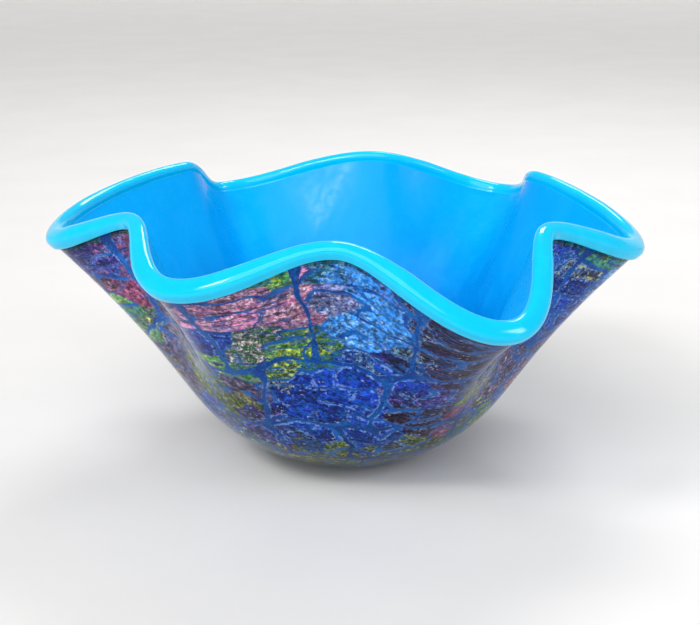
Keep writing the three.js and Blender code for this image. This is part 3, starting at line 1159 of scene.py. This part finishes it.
@dataclass(frozen=True)
class CrackleSkin:
    """Frit-coloured plates: granular, streaked, veined and outlined pale along their broken edges, the
    outline partly a painted highlight on the raised edges.
    """

    name: str = "crackle_skin"
    crack: Rgb = glass_colour(8, 104, 190)
    crack_deep: Rgb = glass_colour(4, 62, 148)
    # pale outline colour: partly the edges' own paleness, partly a painted highlight on the raised shard
    # edges
    outline: Rgb = glass_colour(132, 172, 244)
    border: Rgb = glass_colour(4, 36, 44)
    border_grain: Rgb = glass_colour(26, 132, 96)
    fleck: Rgb = glass_colour(8, 18, 78)
    streak_pale: Rgb = glass_colour(96, 170, 236)
    glint: Rgb = glass_colour(226, 234, 246)
    # painted shade: the plates are made darker toward the foot
    foot: PaintedFootShade = PaintedFootShade(0.26)
    mottle: Cloud = Cloud(0.42, 0.34, 0.66, detail=5.0, distortion=0.3, least=0.35, most=1.75)
    grain_zone: Cloud = Cloud(0.28, 0.42, 0.62, detail=5.0, distortion=0.6)
    fleck_cloud: Cloud = Cloud(0.7, 0.42, 0.35)
    glint_zone: Cloud = Cloud(0.11, 0.46, 0.62)
    vein_zone: Cloud = Cloud(0.06, 0.42, 0.56, detail=2.0)
    ragged: Cloud = Cloud(0.9, 0.25, 0.75, least=-0.45, most=0.45)
    outline_breaks: Cloud = Cloud(0.4, 0.44, 0.56)
    crack_tone: Cloud = Cloud(0.1, 0.36, 0.58)
    gloss: float = 0.06

    def frit(self, nodes: Nodes, effects: EffectLibrary, marks: SkinMarks) -> tuple[Socket, Socket]:
        """Grains of frit on their ground, mottled, and painted darker toward the foot as shade.

        Args:
            nodes: the material's nodes.
            effects: the shared effects.
            marks: what the plates store.

        Returns:
            The colour, and where the grains are.
        """
        place = marks.place
        # each shard's own random tone, times painted shade toward the foot
        shade = nodes.times(nodes.band(marks.tone, 0.0, 1.0, 0.5, 1.5), self.foot.read(nodes, place))
        coarse = effects.use(nodes, Effect.GRANULES, place, Size=1.3, Cover=0.5)
        fine = effects.use(nodes, Effect.GRANULES, place, Size=0.7, Cover=0.5)
        either = nodes.math("MAXIMUM", coarse, nodes.times(fine, 0.8))
        zone = nodes.plus(nodes.times(nodes.cloud(place, self.grain_zone), 0.85), 0.12)
        grain = nodes.times(either, zone)
        colour = nodes.mix(grain, nodes.shade(marks.ground, shade), marks.grain)
        return nodes.shade(colour, nodes.cloud(place, self.mottle)), grain

    def drawn(self, nodes: Nodes, marks: SkinMarks, colour: Socket) -> Socket:
        """Streaks and flecks, drawn out along the rim and strongest near it.

        Args:
            nodes: the material's nodes.
            marks: what the plates store.
            colour: the colour so far.

        Returns:
            The colour with them.
        """
        stretched = nodes.band(marks.below_lip, 58.0, 14.0, 0.06, 1.0)
        streak = nodes.noise(nodes.stretch(marks.flow, (0.13, 1.0, 1.0)), 0.22, 3.0, 1.6)
        pale = nodes.times(nodes.band(streak, 0.55, 0.66), stretched)
        colour = nodes.mix(nodes.times(pale, 0.2), colour, self.streak_pale)
        dark = nodes.times(nodes.band(streak, 0.45, 0.36), stretched)
        colour = nodes.mix(nodes.times(dark, 0.8), colour, self.fleck)
        fleck = nodes.cloud(nodes.stretch(marks.flow, (0.6, 1.0, 1.0)), self.fleck_cloud)
        return nodes.mix(nodes.times(fleck, 0.8), colour, self.fleck)

    def edges(self, nodes: Nodes, marks: SkinMarks, wobble: Socket, colour: Socket) -> Socket:
        """Blue cracks between the shards, and a pale, broken outline along them, partly the edges' own
        paleness and partly a painted highlight.

        Args:
            nodes: the material's nodes.
            marks: what the plates store.
            wobble: how ragged the edges are, in mm.
            colour: the colour so far.

        Returns:
            The colour with them.
        """
        edge = nodes.plus(marks.edge, wobble)
        # pale outline beside each crack: partly the edges' own paleness, partly a painted highlight on the
        # raised shard edges
        outline = nodes.times(nodes.band(edge, 0.0, 0.3), nodes.band(edge, 1.3, 0.5))
        outline = nodes.times(outline, nodes.cloud(marks.place, self.outline_breaks))
        outline = nodes.times(nodes.times(outline, marks.lace), 0.8)
        colour = nodes.mix(outline, colour, self.outline)
        crack = nodes.mix(nodes.cloud(marks.place, self.crack_tone), self.crack_deep, self.crack)
        return nodes.mix(nodes.times(nodes.band(edge, 0.18, -0.08), 0.95), colour, crack)

    def build(self, effects: EffectLibrary) -> bpy.types.Material:
        """Builds the material from what the plates store on their vertices.

        Args:
            effects: the shared effects.

        Returns:
            The material.
        """
        made, nodes = open_material(self.name)
        marks = SkinMarks(nodes)
        place = marks.place
        colour, grain = self.frit(nodes, effects, marks)
        colour = self.drawn(nodes, marks, colour)
        glint = effects.use(nodes, Effect.GRANULES, place, Size=1.1, Cover=0.13)
        glint = nodes.times(nodes.times(glint, nodes.cloud(place, self.glint_zone)), 0.75)
        colour = nodes.mix(glint, colour, self.glint)
        vein = effects.use(nodes, Effect.HAIR_CRACKS, marks.flow, Spacing=6.5, Width=0.5)
        vein = nodes.times(vein, nodes.cloud(place, self.vein_zone))
        colour = nodes.mix(nodes.times(vein, 0.9), colour, self.crack)
        wobble = nodes.cloud(place, self.ragged)
        colour = self.edges(nodes, marks, wobble, colour)
        thread = nodes.band(nodes.plus(marks.below_lip, nodes.times(wobble, 1.6)), 2.4, 1.3)
        bead = effects.use(nodes, Effect.GRANULES, place, Size=1.2, Cover=0.5)
        thread_colour = nodes.mix(bead, self.border, self.border_grain)
        colour = nodes.mix(nodes.times(thread, 0.85), colour, thread_colour)
        rough = nodes.band(nodes.plus(grain, nodes.noise(place, 0.8, 2.0)), 0.2, 1.6, 0.4, 0.7)
        relief = nodes.math("SUBTRACT", nodes.times(grain, 0.5), vein)
        inputs = {
            "Base Color": colour,
            "Roughness": rough,
            "Specular IOR Level": self.gloss,
            "Normal": nodes.bump(0.6, 0.25, relief),
        }
        shader = nodes.add("BsdfPrincipled", inputs)
        nodes.add("OutputMaterial", {"Surface": shader.outputs[0]})
        return made


@dataclass(frozen=True)
class ClearCasing:
    """Clear glass: lets light and shadow rays through to the skin, and carries the gloss."""

    name: str = "clear_glass"
    tint: Rgb = glass_colour(250, 254, 255)
    index: float = 1.22
    polish: Cloud = Cloud(0.3, 0.35, 0.8, least=0.012, most=0.04)
    wave: float = 0.55
    wave_length: float = 17.0

    def build(self, effects: EffectLibrary) -> bpy.types.Material:
        """Builds the material: waved clear glass with a few bubbles.

        Args:
            effects: the shared effects.

        Returns:
            The material.
        """
        made, nodes = open_material(self.name)
        place = nodes.place()
        bubble = effects.use(nodes, Effect.SEEDS, place, Spacing=11.0, Size=0.5)
        waves = effects.use(nodes, Effect.FURNACE_WAVES, place, Length=self.wave_length)
        inputs = {
            "Base Color": self.tint,
            "Roughness": nodes.cloud(place, self.polish),
            "IOR": self.index,
            "Transmission Weight": 1.0,
            "Normal": nodes.bump(1.0, self.wave, nodes.plus(waves, nodes.times(bubble, 0.03))),
        }
        glass = nodes.add("BsdfPrincipled", inputs)
        clear = nodes.add("BsdfTransparent", {"Color": self.tint})
        shadow = nodes.add("LightPath").outputs["Is Shadow Ray"]
        both = nodes.add("MixShader", {0: shadow, 1: glass.outputs[0], 2: clear.outputs[0]})
        nodes.add("OutputMaterial", {"Surface": both.outputs[0]})
        return made


@dataclass(frozen=True)
class GroundGlass:
    """Ground and polished glass under the bowl, with faint rings from the lap wheel."""

    name: str = "ground_glass"
    milk: Rgb = glass_colour(150, 190, 205)
    pit: Rgb = glass_colour(205, 225, 232)

    def build(self, effects: EffectLibrary) -> bpy.types.Material:
        """Builds the material: milky glass with wheel rings and dust-fine pits.

        Args:
            effects: the shared effects.

        Returns:
            The material.
        """
        made, nodes = open_material(self.name)
        place = nodes.place()
        inputs = {"Vector": place, "Scale": 0.7, "Distortion": 1.5}
        rings = nodes.add("TexWave", inputs, wave_type="RINGS", rings_direction="Z").outputs["Fac"]
        pits = effects.use(nodes, Effect.GRANULES, place, Size=0.6, Cover=0.3)
        colour = nodes.mix(nodes.times(pits, 0.4), self.milk, self.pit)
        rough = nodes.band(rings, 0.0, 1.0, 0.22, 0.42)
        inputs = {"Base Color": colour, "Roughness": rough, "Normal": nodes.bump(0.4, 0.05, rings)}
        shader = nodes.add("BsdfPrincipled", inputs)
        nodes.add("OutputMaterial", {"Surface": shader.outputs[0]})
        return made


# ------------------------------------------------------------------ sub-assemblies


def dress(made: bpy.types.Object, material: bpy.types.Material, slot: str, *nodes: str) -> None:
    """Gives a piece its finish and ties it to the solids it stands for.

    Args:
        made: the piece.
        material: its finish.
        slot: its material slot.
        nodes: the solids.
    """
    made.data.materials.append(material)
    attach(made, "root")
    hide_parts(*nodes)
    LOG.info("%s: %d vertices, %s, for %s", made.name, len(made.data.vertices), slot, ", ".join(nodes))


@dataclass
class Casings:
    """The layers that go all round: lining, cobalt underlay and clear overlay.

    The underlay swells up between the plates, which sit in it. The clear glass fills the cracks and
    bites into the underlay by the fused depth, so there is no air between them.
    """

    wall: Wall
    lining_wave: float = 0.25
    tuck: float = 1.2
    overlay_wave: float = 0.22
    fused: float = 0.05
    swell: float = 0.7
    finish: CasedGlass = CasedGlass(
        "turquoise_glass",
        bright=glass_colour(0, 172, 244),
        # deep is the painted shade colour toward the bottom of the bowl
        deep=glass_colour(0, 82, 182),
        low=20.0,
        high=128.0,
        roughness=0.24,
        wave=0.7,
        gloss=0.09,
    )

    def build(self, effects: EffectLibrary) -> None:
        """Builds and dresses the three cups.

        Args:
            effects: the shared effects.
        """
        wall = self.wall
        lining_out = wall.lining_in + wall.lining
        lining = Sheet("lining", wall.lining_in, lining_out, inside_wave=self.lining_wave, tuck=self.tuck)
        dress(lining.build(wall), self.finish.build(effects), "turquoise", "turquoise_lining")
        crack_floor = wall.underlay_in + wall.underlay + self.swell
        underlay = Sheet("underlay", wall.underlay_in, crack_floor)
        dress(underlay.build(wall), CobaltCasing().build(effects), "cobalt", "cobalt_underlay")
        root = crack_floor - self.fused
        overlay = Sheet("overlay", root, wall.overlay_out, outside_wave=self.overlay_wave)
        dress(overlay.build(wall), ClearCasing().build(effects), "clear", "clear_overlay")


@dataclass(frozen=True)
class Course:
    """A ring of plates. low and high are climbs; shift staggers its cracks and lean tilts them."""

    name: str
    low: float
    high: float
    count: int
    shift: float
    lean: float


COURSES = (
    Course("foot", 0.03, 0.23, 8, 0.1, 0.1),
    Course("belly", 0.23, 0.5, 11, 0.45, -0.12),
    Course("shoulder", 0.5, 0.77, 12, 0.2, 0.16),
    Course("rim", 0.77, 1.05, 14, 0.2, -0.1),
)


@dataclass
class CrackledSkin:
    """Every plate of the skin, each a crowned slab broken into shards by fine grooves.

    Groove, crown and swell are shares of the skin's thickness: how high the grooves' bottoms lie, how
    far the shards stand above them and how far they bulge.
    """

    wall: Wall
    crazing: Crazing
    slots: dict[str, str]
    courses: tuple[Course, ...] = COURSES
    crack: float = 3.0
    gap: float = 1.7
    gap_change: float = 0.75
    gap_step: float = 6.0
    course_sway: float = 0.022
    crack_sway: float = 0.16
    slant_speed: float = 165.0
    spacing: float = 0.72
    rim_stretch: float = 1.12
    corner_pull: float = 0.09
    corner_power: int = 5
    wander: float = 2.6
    wander_fine: float = 0.8
    long_period: int = 997
    edge_inset: float = 0.25
    groove: float = 0.43
    crown: float = 0.42
    swell: float = 0.15
    base_crown: float = 0.52
    base_lace: float = 0.5
    base_below_lip: float = 99.0
    base_columns: int = 180
    base_rows: int = 40
    palette: Array = field(default_factory=lambda: np.array([frit.value[:2] for frit in Frit]))
    lace: Array = field(default_factory=lambda: np.array([frit.value[2] for frit in Frit]))

    def course_line(self, climb: float, azimuth: Array) -> Array:
        """The crack between two courses.

        Args:
            climb: the climb it wanders about.
            azimuth: radians.

        Returns:
            Its climb at each azimuth.
        """
        sway = np.sin(5 * azimuth + 9 * climb) + np.sin(8 * azimuth + 21 * climb)
        level = np.full_like(azimuth, 40 * climb)
        ragged = self.wander * ring_noise(azimuth, 44, level, Salt.COURSE_RAGGED)
        fine = self.wander_fine * ring_noise(azimuth, 150, level, Salt.COURSE_FINE)
        return climb + self.course_sway * climb * sway + (ragged + fine) / self.slant_speed

    def crack_azimuth(self, course: Course, index: int, rise: Array) -> Array:
        """The crack at the start of a plate.

        Args:
            course: the ring the plate is in.
            index: its number in the ring.
            rise: shares of the way up the course.

        Returns:
            An azimuth at each rise.
        """
        number = index % course.count
        phase = 2.4 * number + 7 * course.shift + 3 * course.high
        share = index + course.shift + self.crack_sway * math.sin(phase) + course.lean * rise
        level = np.full_like(rise, 3.0 * number + 50 * course.high)
        ragged = self.wander * soft_noise(rise * 4, level, self.long_period, Salt.CRACK_RAGGED)
        fine = self.wander_fine * soft_noise(rise * 13, level, self.long_period, Salt.CRACK_FINE)
        radius = self.wall.section(np.asarray((course.low + min(course.high, 1)) / 2))[0]
        return share * TURN / course.count + (ragged + fine) / radius

    def half_gap(self, along: Array, number: int) -> Array:
        """Half the width of a crack between plates, in mm, at lengths along it in mm.

        The number tells one crack from another.
        """
        steps = along / self.gap_step
        noise = soft_noise(steps, steps * 0 + number, 9973, Salt.GAP)
        return self.gap / 2 * (1 + self.gap_change * noise)

    def spread(self, course: Course, index: int) -> tuple[Array, Array, Array]:
        """Lays out the points of a plate's face.

        Args:
            course: the ring it is in.
            index: its number in the ring.

        Returns:
            Azimuth, climb and mm from the plate's outline, each row by row.
        """
        wall = self.wall
        at_rim = course.high > 1
        top = wall.rim_climb if at_rim else course.high
        middle_radius = float(wall.section(np.asarray((course.low + top) / 2))[0])
        stretch = self.rim_stretch if at_rim else 1.0
        tall = float(wall.slant(top) - wall.slant(course.low)) * stretch
        wide = middle_radius * TURN / course.count
        columns, rows = int(wide / self.spacing), int(tall / self.spacing)
        along, up = np.meshgrid(np.linspace(0, 1, columns), np.linspace(0, 1, rows))
        power = self.corner_power
        pull = 1 - self.corner_pull * np.abs(2 * along - 1) ** power * np.abs(2 * up - 1) ** power
        across = 0.5 + (along - 0.5) * pull
        rise = up if at_rim else 0.5 + (up - 0.5) * pull
        first = self.crack_azimuth(course, index, rise)
        last = self.crack_azimuth(course, index + 1, rise)
        number, beside = index % course.count, (index + 1) % course.count
        trim_first = self.half_gap(rise * tall, 7 * number) / middle_radius
        trim_last = self.half_gap(rise * tall, 7 * beside) / middle_radius
        azimuth = (first + trim_first) * (1 - across) + (last - trim_last) * across
        arc = np.mod(azimuth, TURN) * middle_radius
        low = self.course_line(course.low, azimuth) + self.half_gap(arc, 101) / self.slant_speed
        line_high = self.course_line(course.high, azimuth) - self.half_gap(arc, 102) / self.slant_speed
        high = np.full_like(low, top) if at_rim else line_high
        sides = np.minimum(along, 1 - along) * wide
        ends = up * tall if at_rim else np.minimum(up, 1 - up) * tall
        return azimuth, low * (1 - rise) + high * rise, np.minimum(sides, ends)

    def plate(self, course: Course, index: int) -> bpy.types.Object:
        """Builds one plate.

        Args:
            course: the ring it is in.
            index: its number in the ring.

        Returns:
            The plate.
        """
        wall = self.wall
        azimuth, climb, outline = self.spread(course, index)
        slant = wall.slant(climb)
        shards = self.crazing.read(azimuth, slant)
        edge = np.minimum(shards.edge, outline - self.edge_inset)
        crown = ramp(edge, -0.35, 0.9)
        swell = 0.5 + 0.5 * ring_noise(azimuth, 120, slant / 7, Salt.PLATE_SWELL)
        relief = self.groove + self.crown * crown + self.swell * crown * swell
        front = wall.point(azimuth, climb, wall.skin_in + wall.skin * relief)
        back = wall.point(azimuth, climb, wall.skin_in)
        rows, columns = azimuth.shape
        numbers = np.arange(rows * columns).reshape(rows, columns)
        sides = [numbers[0], numbers[1:, -1], numbers[-1, -2::-1], numbers[-2:0:-1, 0]]
        loop = np.concatenate(sides)
        after = np.roll(loop, -1)
        size = rows * columns
        skirt = np.stack([loop + size, after + size, after, loop], -1)
        faces = [net(rows, columns, False), net(rows, columns, False, size)[:, ::-1], skirt]
        points = np.concatenate([front.reshape(-1, 3), back.reshape(-1, 3)])
        made = make_object(f"{course.name}_plate_{index + 1:02d}_glass", points, faces)
        below = (wall.rim_climb - climb) * wall.rim_speed
        values = {"edge": edge, "tone": shards.tone, "lace": self.lace[shards.frit], "below_lip": below}
        flow = np.stack([azimuth * wall.section(climb)[..., 0], slant, np.zeros_like(slant)], -1)
        self.store(made, shards, values, flow)
        return made

    def store(
        self,
        made: bpy.types.Object,
        shards: Shards,
        values: dict[str, Array],
        flow: Array,
        at_poles: dict[str, float] | None = None,
    ) -> None:
        """Stores on both faces of a plate, and on its poles, what its finish reads.

        Args:
            made: the plate.
            shards: its shards.
            values: numbers for the front face, by name.
            flow: lengths round and up the wall, in mm.
            at_poles: the same numbers for the two poles that a closed plate has.
        """
        ends = at_poles or {}
        for name, value in values.items():
            pair = [ends[name]] * 2 if ends else []
            Store.VALUE.put(made, name, np.concatenate([value.ravel(), value.ravel(), pair]))
        triples = (
            (Store.COLOUR, "ground", self.palette[shards.frit, 0]),
            (Store.COLOUR, "grain", self.palette[shards.grain, 1]),
            (Store.VECTOR, "flow", flow),
        )
        for kind, name, value in triples:
            flat = value.reshape(-1, 3)
            kind.put(made, name, np.concatenate([flat, flat, flat[: 2 if ends else 0]]))

    def base_plate(self) -> bpy.types.Object:
        """Builds the patch of skin across the flat bottom.

        Returns:
            The plate.
        """
        wall = self.wall
        end = -self.crack / wall.base_radius
        turn, rise = np.meshgrid(ring_angles(self.base_columns), np.linspace(INNERMOST, end, self.base_rows))
        radius = (1 + rise) * wall.base_radius
        shards = self.crazing.read(turn, radius)
        edge = np.minimum(shards.edge, (1 + end) * wall.base_radius - radius)
        relief = self.groove + self.base_crown * ramp(edge, -0.3, 0.9)
        front = wall.point(turn, rise, wall.skin_in + wall.skin * relief)
        back = wall.point(turn, rise, wall.skin_in)
        depths = (wall.skin_in + wall.skin * 0.9, wall.skin_in)
        poles = np.array([[0, 0, wall.flat_height - depth] for depth in depths])
        points = np.concatenate([front.reshape(-1, 3), back.reshape(-1, 3), poles])
        made = make_object("base_plate_glass", points, cup(self.base_rows, self.base_columns))
        at_poles = {"edge": 1.0, "tone": 0.5, "lace": self.base_lace, "below_lip": self.base_below_lip}
        values = {name: np.full(radius.shape, number) for name, number in at_poles.items()}
        values |= {"edge": edge, "tone": shards.tone}
        flow = np.stack([turn * radius, radius, np.zeros_like(radius)], -1)
        self.store(made, shards, values, flow, at_poles)
        return made

    def build(self, effects: EffectLibrary) -> None:
        """Builds and dresses every plate.

        Args:
            effects: the shared effects.
        """
        finish = CrackleSkin().build(effects)
        for course in self.courses:
            for index in range(course.count):
                node = f"{course.name}_plate_{index + 1:02d}"
                dress(self.plate(course, index), finish, self.slots[node], node)
        dress(self.base_plate(), finish, self.slots["base_plate"], "base_plate")


@dataclass
class LipWrap:
    """The rounded turquoise roll that closes the rim, crisp at its outer foot and flush inside.

    Where the rim was pinched up, the roll was drawn thinner. The powers round the roll's section:
    its sides, its crown and its foot. Clearance keeps it within the solid it stands for.
    """

    wall: Wall
    columns: int = 900
    steps: int = 44
    side: float = 0.78
    crown: float = 0.86
    foot: float = 0.42
    unevenness: float = 0.3
    lumps_round: int = 26
    inner_foot: float = -3.3
    thinning: float = 0.24
    clearance: float = 0.1
    finish: CasedGlass = CasedGlass(
        "lip_glass",
        bright=glass_colour(0, 200, 246),
        # deep is the painted shade colour, slightly darker where the lip dips low
        deep=glass_colour(0, 186, 240),
        low=70.0,
        high=130.0,
        roughness=0.1,
        wave=0.35,
        gloss=0.34,
    )

    def build(self, effects: EffectLibrary) -> None:
        """Builds and dresses the lip.

        Args:
            effects: the shared effects.
        """
        wall = self.wall
        angle = ring_angles(self.steps) - math.pi / 2
        turn, phase = np.meshgrid(ring_angles(self.columns), angle)
        sine, cosine = np.sin(phase), np.cos(phase)
        across = np.sign(cosine) * np.abs(cosine) ** self.side
        rise = np.sign(sine) * np.abs(sine) ** np.where(sine > 0, self.crown, self.foot)
        lumps = ring_noise(turn, self.lumps_round, turn * 0, Salt.LIP_UNEVEN)
        uneven = self.unevenness * (0.5 + 0.5 * lumps)
        lift = wall.ruffle(turn)[1] / wall.lift
        slimmer = 1 - self.thinning * np.clip(lift, 0, 1)
        depth = across * (wall.lip_width / 2 - self.clearance - uneven) * slimmer
        tucked = ramp(-rise, 0.0, 1.0) * (across < 0)
        depth = depth * (1 - tucked) + np.maximum(depth, self.inner_foot) * tucked
        half_depth = wall.lip_depth / 2 - self.clearance - 0.3 * uneven
        climb = 1 + ((rise + 1) * slimmer - 1) * half_depth / wall.rim_speed
        points = wall.point(turn, climb, depth).reshape(-1, 3)
        closing = strip((self.steps - 1) * self.columns, 0, self.columns)
        made = make_object("lip", points, [net(self.steps, self.columns, True), closing])
        dress(made, self.finish.build(effects), "lip_turquoise", "lip_wrap")


@dataclass
class PontilPad:
    """The ground disc under the bowl, with a softened edge."""

    wall: Wall
    bevel: float = 0.5
    columns: int = 180

    def build(self, effects: EffectLibrary) -> None:
        """Builds and dresses the pad.

        Args:
            effects: the shared effects.
        """
        top = self.wall.pad_height
        radius = self.wall.base_radius - self.wall.pad_inset
        curve = np.linspace(0, math.pi / 2, 7)
        foot = radius - self.bevel
        lower = [(foot + self.bevel * math.sin(a), self.bevel * (1 - math.cos(a))) for a in curve]
        ring = [(r, 0.0) for r in (0.5, 10.0, 20.0)] + lower + [(r, top) for r in (radius, 20.0, 0.5)]
        poles = np.array([[0, 0, 0.0], [0, 0, top]])
        points = np.concatenate([revolve(np.array(ring), self.columns), poles])
        size = len(ring) * self.columns
        under = fan(size, 0, self.columns, False)
        over = fan(size + 1, size - self.columns, self.columns, True)
        faces = [net(len(ring), self.columns, True), under, over]
        made = make_object("pontil_pad_glass", points, faces)
        dress(made, GroundGlass().build(effects), "pontil_clear", "pontil_pad")


# ------------------------------------------------------------------ studio


@dataclass(frozen=True)
class SoftLight:
    """A softbox: where it hangs, how big it is, in metres, its power and its warmth."""

    name: str
    place: Triple
    size: tuple[float, float]
    power: float
    colour: Rgb = (1.0, 1.0, 1.0)


SOFT_LIGHTS = (
    SoftLight("key_softbox", (-0.8, -0.8, 1.15), (0.3, 0.36), 8.0, (1.0, 0.99, 0.97)),
    SoftLight("side_softbox", (1.2, -0.55, 0.75), (0.3, 0.5), 4.0, (0.97, 0.985, 1.0)),
    SoftLight("rear_softbox", (0.25, 0.9, 1.25), (0.6, 0.3), 7.0),
)


@dataclass
class Studio:
    """Pale floor and backdrop, soft lights, and a camera a little above the rim.

    The camera's and the lights' sizes are in metres and degrees, the floor's in mm.
    """

    elevation: float = 16.3
    distance: float = 0.797
    aim: Triple = (0.0008, 0.0, 0.0778)
    lens: float = 75.6
    sensor: float = 36.0
    light_aim: Triple = (0.0, 0.0, 0.07)
    air: float = 0.26
    sky_power: float = 1.9
    sky_spread: float = 60.0
    sky_heading: Triple = (0.3, 0.95, -0.85)
    floor_colour: Rgb = (0.88, 0.87, 0.86)
    floor_cloud: Cloud = Cloud(0.01, 0.0, 1.0, least=0.97, most=1.03)
    floor_radius: float = 3600.0
    wall_radius: float = 4800.0
    wall_top: float = 1700.0
    columns: int = 128
    lights: tuple[SoftLight, ...] = SOFT_LIGHTS

    def build(self) -> None:
        """Builds the studio."""
        self.build_floor()
        for light in self.lights:
            self.hang(light)
        self.open_sky()
        self.place_camera()
        world = bpy.data.worlds.new("studio_air")
        world.use_nodes = True
        background = world.node_tree.nodes["Background"]
        background.inputs["Color"].default_value = (1.0, 1.0, 1.0, 1.0)
        background.inputs["Strength"].default_value = self.air
        scene = bpy.context.scene
        scene.world = world
        scene.view_settings.view_transform = "Standard"
        scene.view_settings.look = "None"

    def build_floor(self) -> None:
        """A round floor that sweeps up into a low wall all round, so every side sees the same."""
        bend = self.wall_radius - self.floor_radius
        arc = np.linspace(0, math.pi / 2, 20)
        run = [(radius, 0.0) for radius in np.linspace(20.0, self.floor_radius, 12)[:-1]]
        sweep = [(self.floor_radius + bend * math.sin(a), bend * (1 - math.cos(a))) for a in arc]
        outline = np.array(run + sweep + [(self.wall_radius, self.wall_top)])
        points = np.concatenate([revolve(outline, self.columns), np.zeros((1, 3))])
        middle = fan(len(points) - 1, 0, self.columns, True)
        faces = [net(len(outline), self.columns, True)[:, ::-1], middle]
        floor = make_object("studio_floor", points, faces, sharp=60.0)
        made, nodes = open_material("pale_floor")
        colour = nodes.shade(self.floor_colour, nodes.cloud(nodes.place(), self.floor_cloud))
        shader = nodes.add("BsdfPrincipled", {"Base Color": colour, "Roughness": 0.55})
        nodes.add("OutputMaterial", {"Surface": shader.outputs[0]})
        floor.data.materials.append(made)

    @staticmethod
    def put(name: str, data: bpy.types.ID, place: Vector, heading: Vector) -> bpy.types.Object:
        """Puts a light or a camera in the scene.

        Args:
            name: its name.
            data: the lamp or the camera.
            place: where it is, in metres.
            heading: the way it faces.

        Returns:
            The new object.
        """
        made = bpy.data.objects.new(name, data)
        made.location = place
        made.rotation_euler = heading.to_track_quat("-Z", "Y").to_euler()
        bpy.context.scene.collection.objects.link(made)
        return made

    def hang(self, light: SoftLight) -> None:
        """Hangs a softbox so that it faces the bowl.

        Args:
            light: the softbox.
        """
        lamp = bpy.data.lights.new(light.name, "AREA")
        lamp.shape = "RECTANGLE"
        lamp.size, lamp.size_y = light.size
        lamp.energy = light.power
        lamp.color = light.colour
        self.put(light.name, lamp, Vector(light.place), Vector(self.light_aim) - Vector(light.place))

    def open_sky(self) -> None:
        """A very broad light from the upper front that evens out floor and bowl."""
        lamp = bpy.data.lights.new("broad_skylight", "SUN")
        lamp.energy = self.sky_power
        lamp.angle = math.radians(self.sky_spread)
        self.put("broad_skylight", lamp, Vector((0.0, 0.0, 0.0)), Vector(self.sky_heading))

    def place_camera(self) -> None:
        """Places the camera in front of the bowl."""
        camera = bpy.data.cameras.new("camera")
        camera.lens = self.lens
        camera.sensor_width = self.sensor
        camera.clip_end = 50.0
        angle = math.radians(self.elevation)
        away = Vector((0.0, -math.cos(angle), math.sin(angle))) * self.distance
        bpy.context.scene.camera = self.put("camera", camera, Vector(self.aim) + away, -away)


def main() -> None:
    """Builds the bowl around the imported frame, then the studio."""
    logging.basicConfig(level=logging.INFO, format="%(name)s: %(message)s")
    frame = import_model()
    slots = {part["node"]: part["material_slot"] for part in frame["record"]["subparts"]}
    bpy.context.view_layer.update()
    wall = Wall()
    effects = EffectLibrary()
    Casings(wall).build(effects)
    CrackledSkin(wall, Crazing(wall), slots).build(effects)
    LipWrap(wall).build(effects)
    PontilPad(wall).build(effects)
    Studio().build()


if __name__ == "__main__":
    main()
